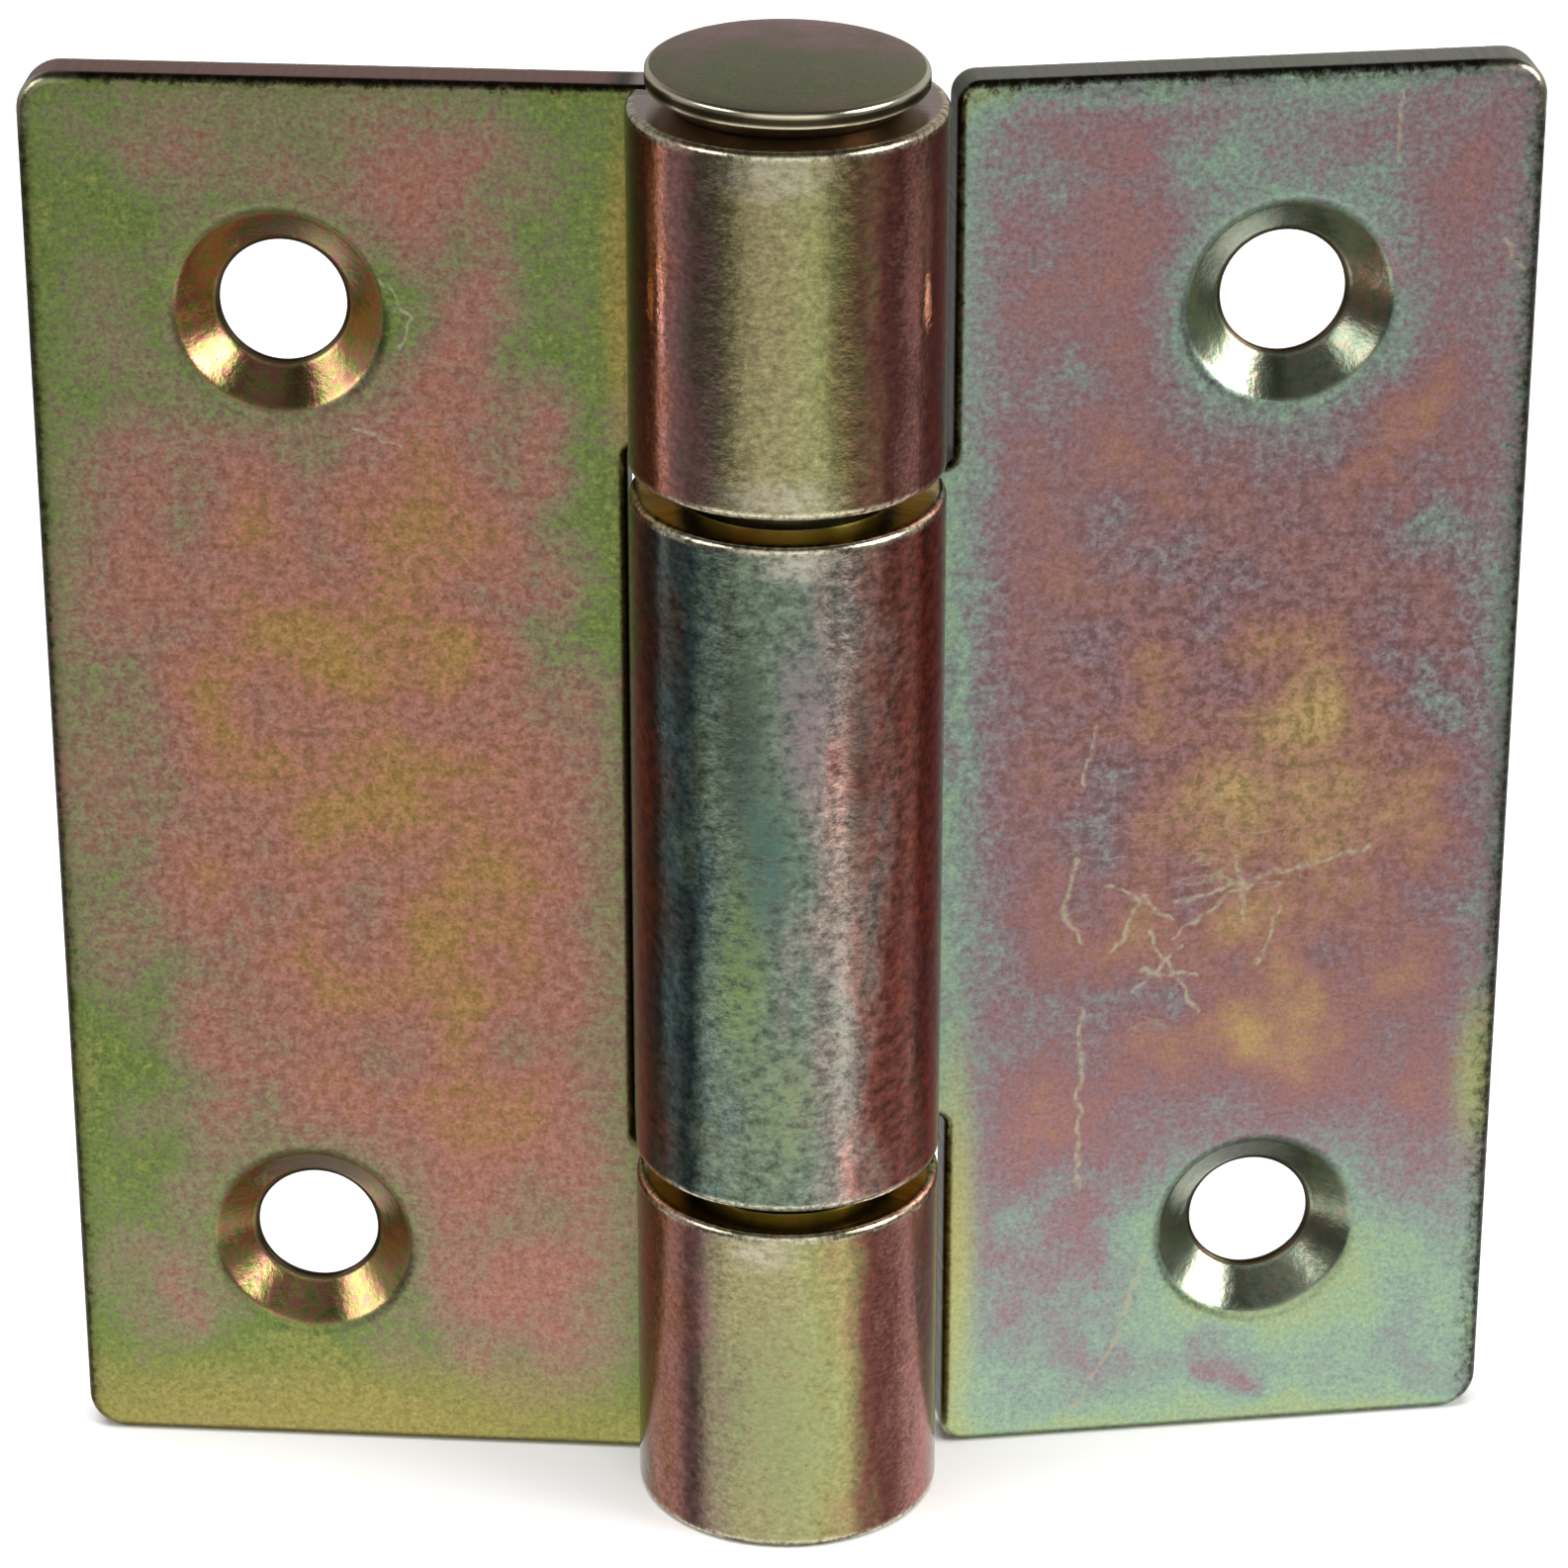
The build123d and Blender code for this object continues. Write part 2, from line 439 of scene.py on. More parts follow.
def make_blank(name, knuckles, inner):
    """The flat blank of a leaf: u along x, depth along y, height along z, in millimetres."""
    mesh = bmesh.new()
    layers = {zone: mesh.verts.layers.float.new(zone) for zone in zones}
    outline = blank_outline(knuckles, inner)
    inwards = inset_directions(outline)
    edge_rings = []
    for inset, depth, zone in edge_profile():
        ring = [p + step * inset for p, step in zip(outline, inwards)]
        amount = min(1.0, depth / edge_roll + roll_mark) if zone == "roll" else 1.0
        places = [(p.x, depth, p.y) for p in ring]
        edge_rings.append(add_ring(mesh, places, layers, zone, amount))
    skin(mesh, edge_rings)
    hole_rings = []
    for height in screw_heights:
        rings = []
        for radius, depth, zone in hole_profile():
            turns = circle(hole_steps)
            places = [(screw_reach + radius * x, depth, height + radius * y) for x, y in turns]
            rings.append(add_ring(mesh, places, layers, zone))
        skin(mesh, rings)
        hole_rings.append(rings)
    grid = inner_points(knuckles, inner, grid_clearance)
    fill_face(mesh, edge_rings[0], [rings[0] for rings in hole_rings], grid, 0.0)
    fill_face(mesh, edge_rings[-1], [rings[-1] for rings in hole_rings], grid, sheet)
    bmesh.ops.join_triangles(
        mesh,
        faces=mesh.faces,
        angle_face_threshold=math.radians(1),
        angle_shape_threshold=math.radians(35),
    )
    bmesh.ops.recalc_face_normals(mesh, faces=mesh.faces)
    flat_map = mesh.loops.layers.uv.new("flat_blank")
    for face in mesh.faces:
        for loop in face.loops:
            loop[flat_map].uv = (loop.vert.co.x / uv_span, loop.vert.co.z / uv_span)
    return to_data(name, mesh)


# %% [markdown]
# ## Rolling the strip
# Every knuckle follows one rule: the strip runs straight, bends back over the crank, then winds
# round the pin at a constant radius. The rule is a Geometry Nodes tree with the sizes as inputs,
# so the same tree rolls both leaves and would roll a strip of another gauge. Its sums are written
# as a table: a name, the operation, and what it works on.

# %% Roll sums
roll_inputs = {
    "Sheet": sheet * mm,
    "Bore radius": bore_radius * mm,
    "Face depth": face_depth * mm,
    "Crank radius": crank_radius * mm,
    "Crank reach": crank_reach * mm,
    "Crank bend": crank_bend,
    "Roll start": roll_start,
    "Side": 1.0,
    "Fold": 0.0,
}
roll_sums = (
    ("half", "MULTIPLY", "Sheet", 0.5),
    ("crank middle", "ADD", "Crank radius", "half"),
    ("roll middle", "ADD", "Bore radius", "half"),
    ("short of crank", "SUBTRACT", "Crank reach", "X"),
    ("past crank", "MAXIMUM", "short of crank", 0.0),
    ("crank length", "MULTIPLY", "crank middle", "Crank bend"),
    ("in crank", "MINIMUM", "past crank", "crank length"),
    ("in roll", "SUBTRACT", "past crank", "crank length"),
    ("bend", "DIVIDE", "in crank", "crank middle"),
    ("bend sine", "SINE", "bend"),
    ("bend cosine", "COSINE", "bend"),
    ("crank outside", "ADD", "Crank radius", "Sheet"),
    ("crank here", "SUBTRACT", "crank outside", "Y"),
    ("crank centre", "ADD", "crank outside", "Face depth"),
    ("bend start", "MAXIMUM", "X", "Crank reach"),
    ("bend across", "MULTIPLY", "crank here", "bend sine"),
    ("bend ahead", "MULTIPLY", "crank here", "bend cosine"),
    ("plate x", "SUBTRACT", "bend start", "bend across"),
    ("plate y", "SUBTRACT", "crank centre", "bend ahead"),
    ("wound", "DIVIDE", "in roll", "roll middle"),
    ("turn", "ADD", "wound", "Roll start"),
    ("turn sine", "SINE", "turn"),
    ("turn cosine", "COSINE", "turn"),
    ("roll here", "ADD", "Bore radius", "Y"),
    ("barrel x", "MULTIPLY", "roll here", "turn cosine"),
    ("barrel y", "MULTIPLY", "roll here", "turn sine"),
    ("is rolled", "GREATER_THAN", "in roll", 0.0),
)

# %% [markdown]
# Every row of the table becomes one node. A switch then takes each vertex from the plate or from
# the barrel, and the whole leaf is mirrored to its side and folded.

# %% Roll tree
calc = "ShaderNodeMath"
split = "ShaderNodeSeparateXYZ"
join = "ShaderNodeCombineXYZ"


def make_roll_tree():
    """The rule that rolls a flat blank into a leaf with knuckles."""
    tree = bpy.data.node_groups.new("roll_strip", "GeometryNodeTree")
    tree.interface.new_socket("Geometry", in_out="INPUT", socket_type="NodeSocketGeometry")
    for name in roll_inputs:
        tree.interface.new_socket(name, in_out="INPUT", socket_type="NodeSocketFloat")
    tree.interface.new_socket("Material", in_out="INPUT", socket_type="NodeSocketMaterial")
    tree.interface.new_socket("Geometry", in_out="OUTPUT", socket_type="NodeSocketGeometry")
    add = partial(add_node, tree)
    values = dict(tree.nodes.new("NodeGroupInput").outputs.items())
    place = add("GeometryNodeInputPosition")
    values.update(add(split, (place,)).node.outputs.items())
    for name, operation, *terms in roll_sums:
        values[name] = add(calc, [values.get(term, term) for term in terms], operation)
    plate = add(join, [values[name] for name in ("plate x", "plate y", "Z")])
    barrel = add(join, [values[name] for name in ("barrel x", "barrel y", "Z")])
    choice = {"Switch": values["is rolled"], "False": plate, "True": barrel}
    bent = add("GeometryNodeSwitch", choice, input_type="VECTOR")
    side = add(join, (values["Side"], 1.0, 1.0))
    fold = add(join, {"Z": values["Fold"]})
    steps = (
        ("GeometryNodeSetPosition", {"Position": bent}),
        ("GeometryNodeTransform", {"Scale": side, "Rotation": fold}),
        ("GeometryNodeRealizeInstances", {}),
        ("GeometryNodeSetMaterial", {"Material": values["Material"]}),
    )
    shape = values["Geometry"]
    for step, inputs in steps:
        shape = add(step, {"Geometry": shape, **inputs})
    tree.links.new(shape, tree.nodes.new("NodeGroupOutput").inputs[0])
    return tree


roll_tree = make_roll_tree()
print("roll tree has", len(roll_tree.nodes), "nodes")

# %% [markdown]
# The tree runs as a modifier. Its result is turned into a plain mesh and the modifier goes away.
# A mirrored mesh is inside out, so its faces are turned to point outwards again.

# %% Roll a leaf
def roll_leaf(name, blank, material, **changes):
    """Roll a blank with the tree and return the leaf as a plain object."""
    raw = bpy.data.objects.new(name + "_raw", blank)
    scene.collection.objects.link(raw)
    modifier = raw.modifiers.new("roll", "NODES")
    modifier.node_group = roll_tree
    values = {**roll_inputs, **changes, "Material": material}
    for item in roll_tree.interface.items_tree:
        if item.in_out == "INPUT" and item.name in values:
            modifier[item.identifier] = values[item.name]
    graph = bpy.context.evaluated_depsgraph_get()
    data = bpy.data.meshes.new_from_object(raw.evaluated_get(graph))
    bpy.data.objects.remove(raw)
    mesh = bmesh.new()
    mesh.from_mesh(data)
    bmesh.ops.recalc_face_normals(mesh, faces=mesh.faces)
    mesh.to_mesh(data)
    mesh.free()
    data.name = name
    leaf = bpy.data.objects.new(name, data)
    scene.collection.objects.link(leaf)
    return leaf


# %% [markdown]
# ## The finish
# Yellow chromate on zinc plate. The chromate is a clear film, a few hundred nanometres thick, and
# its colour comes from interference. Where the film is thick, along edges and round holes, it is
# olive and sage. Where it thins it goes through mauve and pink to gold. The finish is therefore
# one number for the film, read through a row of interference colours. The door leaf's bath left
# a greyer row than the frame leaf's.

# %% Film colours
def linear(code):
    """An sRGB hex colour as linear values with full alpha."""
    parts = [int(code[i : i + 2], 16) / 255 for i in (1, 3, 5)]
    return [p / 12.92 if p <= 0.04045 else ((p + 0.055) / 1.055) ** 2.4 for p in parts] + [1.0]


frame_film = (
    (0.00, "#9C7C46"),
    (0.16, "#98764C"),
    (0.32, "#9C6A58"),
    (0.46, "#966A60"),
    (0.60, "#84725C"),
    (0.74, "#777856"),
    (0.86, "#66783E"),
    (0.95, "#6C7A42"),
    (1.00, "#7C8048"),
)
door_film = (
    (0.00, "#B29866"),
    (0.16, "#AA8A64"),
    (0.30, "#9C7264"),
    (0.42, "#926C68"),
    (0.54, "#886A6C"),
    (0.66, "#847C7E"),
    (0.78, "#7E9284"),
    (0.88, "#889E86"),
    (0.95, "#8A9E7C"),
    (1.00, "#92A078"),
)


ramped = "ShaderNodeValToRGB"


def draw_ramp(output, stops, interpolation="B_SPLINE"):
    """Set the stops of a colour ramp from places and hex colours or grey levels."""
    ramp = output.node.color_ramp
    ramp.interpolation = interpolation
    while len(ramp.elements) < len(stops):
        ramp.elements.new(1.0)
    for element, (place, colour) in zip(ramp.elements, stops):
        element.position = place
        element.color = linear(colour) if isinstance(colour, str) else (colour, colour, colour, 1.0)


# %% [markdown]
# ## Reading the leaf
# The finish reads a few things again and again: its place on the flat blank, its zone of the edge
# or the hole, and a set of noises. The bath's mottling is about 0.4 mm wide, flecks are half of
# that, and the grain of the rolled steel is about 0.15 mm. Slower noises make the film wander and
# shake the scratches. All are gathered once, under their names.

# %% Reading the leaf
noise = "ShaderNodeTexNoise"
vector = "ShaderNodeVectorMath"
span = "ShaderNodeMapRange"
mix = "ShaderNodeMix"
noises = {  # scale per millimetre, detail, roughness
    "wander": (0.30, 2.0, 0.45),
    "islands": (1.8, 2.0, 0.55),
    "drift": (0.35, 2.0, 0.5),
    "mottle": (2.4, 3.0, 0.7),
    "fleck": (4.5, 3.0, 0.6),
    "grain": (7.0, 3.0, 0.75),
    "peel": (1.3, 2.0, 0.5),
    "shake": (1.3, 1.0, 0.6),
    "skips": (4.0, 2.0, 0.5),
}
cast_noises = ("wander", "islands", "drift")  # these lie elsewhere on each leaf
noise_range = (0.3, 0.7)  # what a noise mostly spans
# how far from the top outer corner the rolled edge is painted bright as a glint
corner_glint_reach = (2.2, 0.8)
crank_border = 0.4


def read_leaf(add, look):
    """What the finish reads: place, zones, noises, and what is barrel, flat or corner."""
    uv = add("ShaderNodeUVMap", uv_map="flat_blank")
    place = add(vector, (uv, uv_span), "SCALE")
    parts = add(split, (place,)).node.outputs
    leaf = {"place": place, "across": parts["X"], "height": parts["Y"]}
    for title in zones:
        leaf[title] = add("ShaderNodeAttribute", attribute_name=title).node.outputs["Fac"]
    moved = add(vector, (place, look["cast"]), "ADD")
    for title, (scale, detail, rough) in noises.items():
        here = moved if title in cast_noises else place
        settings = {"Vector": here, "Scale": scale, "Detail": detail, "Roughness": rough}
        leaf[title] = add(noise, settings, noise_dimensions="2D")
    leaf["texture"] = add(calc, (leaf["grain"], leaf["fleck"]), "ADD")
    leaf["barrel"] = add(span, (leaf["across"], crank_reach + crank_border, crank_reach))
    leaf["flat"] = add(calc, (1.0, leaf["barrel"]), "SUBTRACT")
    leaf["from side"] = add(calc, (leaf_reach, leaf["across"]), "SUBTRACT")
    # the rolled corner near the top outer corner, later painted bright as a glint
    gap = add(vector, (place, (leaf_reach, leaf_height, 0)), "DISTANCE")
    near = add(span, (gap, *corner_glint_reach))
    leaf["corner"] = add(calc, (near, leaf["roll"]), "MULTIPLY")
    return leaf


# %% [markdown]
# Two shapes serve for all that lies on the film: an amount that dies away from a border, and a soft
# oval patch. Colours are laid over each other in order, each by its own factor.

# %% Fading, patches and layers
def fading(add, distance, reach, amount):
    """An amount that dies away with a distance, to about a third at the given reach."""
    exponent = add(calc, (distance, -1 / reach), "MULTIPLY")
    falloff = add(calc, (math.e, exponent), "POWER")
    return add(calc, (falloff, amount), "MULTIPLY")


def patch(add, place, centre, size, amount):
    """A soft oval patch of an amount, with nothing beyond its half sizes."""
    away = add(vector, (place, (*centre, 0)), "SUBTRACT")
    away = add(vector, (away, (1 / size[0], 1 / size[1], 0)), "MULTIPLY")
    length = add(vector, (away,), "LENGTH")
    return add(span, (length, 0.0, 1.0, amount, 0.0), interpolation_type="SMOOTHERSTEP")


def layered(add, colour, *layers):
    """Colours laid over a first one, each by its own factor."""
    for factor, above in layers:
        top = linear(above) if isinstance(above, str) else above
        colour = add(mix, (factor, colour, top), data_type="RGBA")
    return colour


# %% [markdown]
# ## Where the film is thick
# The bath reaches edges and holes first, so the film dies away from them over two or three
# millimetres. The distances come straight from the flat blank. Slow clouds and a few broad patches
# are laid over that, because work hangs in a crowded barrel and the liquid runs off unevenly.

# %% Film thickness
cloud_range = (0.25, 0.75)
cloud_amount = 0.2
island_amount = 0.045
stray_reach = 5.0  # how far borders and patches wander
centred = (-0.5, -0.5, -0.5)  # brings a noise's colour round zero


def plate_film(add, leaf, look):
    """The film on the flat of a leaf."""
    low, high = look["film"] - cloud_amount, look["film"] + cloud_amount
    film = add(span, (leaf["wander"], *cloud_range, low, high), clamp=False)
    ends = (leaf["islands"], *cloud_range, -island_amount, island_amount)
    film = add(calc, (film, add(span, ends, clamp=False)), "ADD")
    from_top = add(calc, (leaf_height, leaf["height"]), "SUBTRACT")
    from_end = add(calc, (from_top, leaf["height"]), "MINIMUM")
    from_edge = add(calc, (from_end, leaf["from side"]), "MINIMUM")
    from_barrel = add(calc, (leaf["across"], look["inner"]), "SUBTRACT")
    axes = [(screw_reach, height, 0) for height in screw_heights]
    from_axes = [add(vector, (leaf["place"], axis), "DISTANCE") for axis in axes]
    from_hole = add(calc, from_axes, "MINIMUM")
    from_hole = add(calc, (from_hole, sink_radius), "SUBTRACT")
    for distance, title in ((from_edge, "edge"), (from_barrel, "side"), (from_hole, "hole")):
        loose = add(calc, (leaf["wander"], stray_reach, distance), "MULTIPLY_ADD")
        loose = add(calc, (loose, stray_reach / 2), "SUBTRACT")
        loose = add(calc, (loose, 0.0), "MAXIMUM")
        film = add(calc, (film, fading(add, loose, *look[title])), "ADD")
    drift = add(vector, (leaf["drift"].node.outputs["Color"], centred), "ADD")
    drift = add(vector, (drift, stray_reach), "SCALE")
    strayed = add(vector, (leaf["place"], drift), "ADD")
    for centre, size, amount in look["patches"]:
        film = add(calc, (film, patch(add, strayed, centre, size, amount)), "ADD")
    return film


# %% [markdown]
# Rolling stretched the strip on the outside of the barrel, and the film took on it in bands that
# run up the roll: pale olive in front, mauve to maroon on the flanks. The middle knuckle has a
# bluish band on one side. The bands also hold painted reflection: they are lighter where the
# glints on the flanks fall and darker in strips between, where the barrel mirrors dark parts of
# the tent. The bands are written as angles round the barrel from its front.

# %% Barrel bands
# film colours round the barrel, in part painted reflection: lighter where the flank glints fall,
# darker in strips between
frame_bands = (
    (-180, "#8E8458"), (-120, "#86704E"), (-90, "#66532C"), (-74, "#7A683C"), (-66, "#775C36"),
    (-60, "#7E5234"), (-54, "#9C6444"), (-46, "#AE7462"), (-37, "#AE7A76"), (-30, "#8A7068"),
    (-22, "#807A5C"), (-14, "#938A62"), (0, "#978C66"), (12, "#909262"), (20, "#8E8B58"),
    (30, "#93825A"), (36, "#965E54"), (43, "#78443C"), (52, "#9A6A5E"), (60, "#AE7870"),
    (72, "#B4624E"), (80, "#8A5A40"), (120, "#86704E"), (180, "#8E8458"),
)
# the door leaf's film colours round its barrel, in part painted reflection in its light and dark
# strips
door_bands = (
    (-180, "#86866A"), (-120, "#7C6C54"), (-90, "#6A4830"), (-70, "#8A4A38"), (-63, "#74483A"),
    (-56, "#4E4038"), (-50, "#4E4C48"), (-44, "#4A504A"), (-36, "#42585A"), (-28, "#64746A"),
    (-18, "#6A7662"), (-6, "#626F5C"), (4, "#647264"), (12, "#6E7066"), (20, "#7A726A"),
    (28, "#8C8076"), (35, "#AE8478"), (44, "#86483E"), (51, "#865248"), (58, "#8A4C40"),
    (66, "#A04A36"), (76, "#B0604A"), (92, "#8A4C38"), (120, "#7C6C54"), (180, "#86866A"),
)
grain_stray = 0.06


def blank_place(angle, look):
    """Where on the blank a place round the barrel lies, from its angle to the hinge's front."""
    turn = look["side_sign"] * (math.radians(angle) - look["fold"])
    return crank_reach - crank_run - (bore_radius + sheet / 2) * (1.5 * math.pi + turn - roll_start)


def barrel_colour(add, leaf, look):
    """The colours round the knuckles of a leaf."""
    around = add(span, (leaf["across"], blank_place(-180, look), blank_place(180, look)))
    drawn = {"Vector": leaf["place"], "Location": look["cast"], "Scale": (1, 0.3, 1)}
    drawn = add("ShaderNodeMapping", drawn)
    settings = {"Vector": drawn, "Scale": 0.7, "Detail": 4.0, "Roughness": 0.6}
    cloud = add(noise, settings, noise_dimensions="2D")
    around = add(calc, (cloud, look["stray"], around), "MULTIPLY_ADD")
    around = add(calc, (leaf["grain"], grain_stray, around), "MULTIPLY_ADD")
    around = add(calc, (around, (grain_stray + look["stray"]) / 2), "SUBTRACT")
    bands = add(ramped, (around,))
    draw_ramp(bands, [((angle + 180) / 360, code) for angle, code in look["bands"]])
    return bands


# %% [markdown]
# ## Scratches
# Handling leaves hairlines where the film is rubbed through to pale zinc. A thin band round one
# level of a stretched noise makes long wandering lines at no cost. The few deep strokes are drawn
# as nearness to short segments, on coordinates that wobble a little. A last noise makes every line
# skip in places.

# %% Hairlines and strokes
def hairlines(add, place, angle, stretch, scale, width):
    """Long thin lines that follow a noise stretched along one direction."""
    turned = {"Vector": place, "Rotation": (0, 0, angle), "Scale": (stretch, 1, 1)}
    turned = add("ShaderNodeMapping", turned)
    settings = {"Vector": turned, "Scale": scale, "Detail": 2.0}
    level = add(noise, settings, noise_dimensions="2D")
    off = add(calc, (level, 0.5), "SUBTRACT")
    off = add(calc, (off,), "ABSOLUTE")
    line = add(span, (off, 0.0, width, 1.0, 0.0))
    settings = {"Vector": turned, "Scale": scale * 0.8, "Detail": 1.0}
    gate = add(noise, settings, noise_dimensions="2D")
    gate = add(span, (gate, 0.52, 0.62))
    return add(calc, (line, gate), "MULTIPLY")


def stroke(add, place, start, end, width):
    """One scratch between two points, as nearness to the segment between them."""
    begin, run = Vector((*start, 0)), Vector((end[0] - start[0], end[1] - start[1], 0))
    offset = add(vector, (place, begin), "SUBTRACT")
    along = add(vector, (offset, run / run.length_squared), "DOT_PRODUCT")
    along = add("ShaderNodeClamp", (along,))
    nearest = add(vector, (run, along), "SCALE")
    gap = add(vector, (offset, nearest), "DISTANCE")
    return add(span, (gap, 0.0, width, 1.0, 0.0), interpolation_type="SMOOTHSTEP")


# %% [markdown]
# Each place takes the strongest line that crosses it. Where a leaf was scuffed, hairlines show more.

# %% Scratches
hairline_sets = ((0.5, 0.25, 0.8, 0.012), (2.1, 0.2, 0.6, 0.010))  # angle, stretch, scale, width
hairline_strength = 0.22
stroke_wobble = (0.45, 0.45, 0)
skip_levels = (0.36, 0.6, 0.2, 0.75)


def scratches(add, leaf, look):
    """Hairlines and strokes together, from 0 to 1."""
    place = leaf["place"]
    lines = [hairlines(add, place, *numbers) for numbers in hairline_sets]
    marks = add(calc, lines, "MAXIMUM")
    dense = add(calc, (patch(add, place, *look["scuffed"]), hairline_strength), "ADD")
    marks = add(calc, (marks, dense), "MULTIPLY")
    shake = add(vector, (leaf["shake"].node.outputs["Color"], centred), "ADD")
    shake = add(vector, (shake, stroke_wobble), "MULTIPLY")
    shaken = add(vector, (place, shake), "ADD")
    for width, *bends in look["strokes"]:
        for start, end in zip(bends, bends[1:]):
            marks = add(calc, (marks, stroke(add, shaken, start, end, width)), "MAXIMUM")
    skips = add(span, (leaf["skips"], *skip_levels))
    return add(calc, (marks, skips), "MULTIPLY")


# %% [markdown]
# ## The film's colour
# Mottling and flecks shift the film a little, so that neighbouring colours run into each other as
# fine dots. The lower end drained last and is calmer. Stains are tints that dried on in one place.

# %% Film colour
fleck_share = 0.75
calm_heights = (3.0, 17.0)


def film_colour(add, leaf, look):
    """The interference colours of the plate and of the barrel, with stains."""
    speckle = add(calc, (leaf["fleck"], fleck_share, leaf["mottle"]), "MULTIPLY_ADD")
    speckle = add(calc, (speckle, (1 + fleck_share) / 2), "SUBTRACT")
    lively = add(span, (leaf["height"], *calm_heights, *look["speckle"]))
    speckle = add(calc, (speckle, lively), "MULTIPLY")
    film = add(calc, (plate_film(add, leaf, look), speckle), "ADD")
    plate = add(ramped, (film,))
    draw_ramp(plate, look["colours"])
    colour = layered(add, plate, (leaf["barrel"], barrel_colour(add, leaf, look)))
    for centre, size, tint, amount in look["stains"]:
        stain = patch(add, leaf["place"], centre, size, amount)
        colour = layered(add, colour, (stain, tint))
    return colour


# %% [markdown]
# ## Light and dark
# The grain dulls and brightens the film. A mottled patch darkens the middle of a leaf, the rolling
# tools peened the barrel, and painted light brightens the lower end of the flat.

# %% Light and dark
texture_range = (0.7, 1.3)
mottle_tone_range = (0.36, 0.62)
# heights over which the flat is painted lighter towards its lower end
bottom_light_heights = (18.0, 2.0)


def shading(add, leaf, look):
    """How much lighter or darker than its film each place is."""
    grain = (1 - look["grain"], 1 + look["grain"])
    shade = add(span, (leaf["texture"], *texture_range, *grain), clamp=False)
    centre, size, *depths = look["mottle"]
    # a mottled patch that darkens the middle of a leaf
    mottled_tone = add(span, (leaf["mottle"], *mottle_tone_range, *depths))
    mottled_tone = add(mix, (patch(add, leaf["place"], centre, size, 1.0), 1.0, mottled_tone))
    peened = add(span, (leaf["mottle"], *noise_range, *look["peened"]))
    mottled_tone = add(mix, (leaf["barrel"], mottled_tone, peened))
    shade = add(calc, (shade, mottled_tone), "MULTIPLY")
    # painted light: the flat is painted lighter towards its lower end
    ends = (leaf["height"], *bottom_light_heights, 1.0, 1 + look["drained"])
    drained = add(span, ends, interpolation_type="SMOOTHSTEP")
    drained = add(mix, (leaf["barrel"], drained, 1.0))
    return add(calc, (shade, drained), "MULTIPLY")


# %% [markdown]
# ## Wear, soil and painted reflection
# Over the film lie the scratches, then broken marks on the knuckles, then soil that has gathered
# in specks along the outer and the top edge. Some marks are where the knuckles were rubbed or
# stained; others are painted reflection, dark and pale strips up the barrel.

# %% Wear, soil and painted reflection
# dark of soil and soot, also used as painted shade beside the barrel and on the pin's rim
soil_and_shade_dark = "#33291E"
scratch_pale = "#B0AB8E"
rubbed_grey = "#BDB6A4"
broken_levels = (0.35, 0.6, 0.15, 0.75)
soil_rise = 0.75
soil_levels = (1.05, 1.40, 0.0, 0.8)
top_margin = 0.2


def worn(add, leaf, look, colour):
    """Scratches, marks on the knuckles, some of them painted reflection, and soiled edges, laid over
    a colour.
    """
    colour = layered(add, colour, (scratches(add, leaf, look), scratch_pale))
    broken = add(span, (leaf["mottle"], *broken_levels))
    # each mark is a tint: some are rubbed or stained, others are strips of painted reflection up the
    # barrel
    for angle, height, size, tint in look["marks"]:
        mark = patch(add, leaf["place"], (blank_place(angle, look), height), size, 1.0)
        mark = add(calc, (mark, broken), "MULTIPLY")
        colour = layered(add, colour, (mark, tint))
    from_top = add(calc, (leaf_height + top_margin, leaf["height"]), "SUBTRACT")
    from_edge = add(calc, (leaf["from side"], from_top), "MINIMUM")
    soil = add(span, (from_edge, look["worn"], 0.0, 0.0, soil_rise))
    soil = add(calc, (soil, leaf["flat"]), "MULTIPLY")
    soil = add(calc, (leaf["mottle"], 0.9, soil), "MULTIPLY_ADD")
    soil = add(calc, (leaf["grain"], 0.5, soil), "MULTIPLY_ADD")
    soil = add(span, (soil, *soil_levels))
    return layered(add, colour, (soil, soil_and_shade_dark))


# %% [markdown]
# ## Edges and holes
# The cut edges are plainer than the faces, and painted dark as shade where they run close by the
# barrel. The ends of the knuckles are painted light for the light they catch in the narrow gaps.
# The edge that the press rolled over is sooty and ragged, with a rubbed corner that is painted
# bright as a glint. The countersinks are turned bright, the bore is painted dark as shade, and the
# rims of the knuckles are rubbed to zinc.

# %% Edges and holes
# painted shade in the bore of each hole
bore_shade = "#4E4232"
# zinc where rims are rubbed, also painted as glints on the rolled corner and the pin's rim
rubbed_zinc_and_glint = "#D2C9AE"
upper_rim = (45.0, 46.0)
shaded_reach = (0.7, 0.1)  # from the leaf's inner edge
ragged_levels = (1.55, 1.95)
soot_levels = (0.25, 0.9)
rub_levels = (0.8, 1.15, 0.15, 1.0)


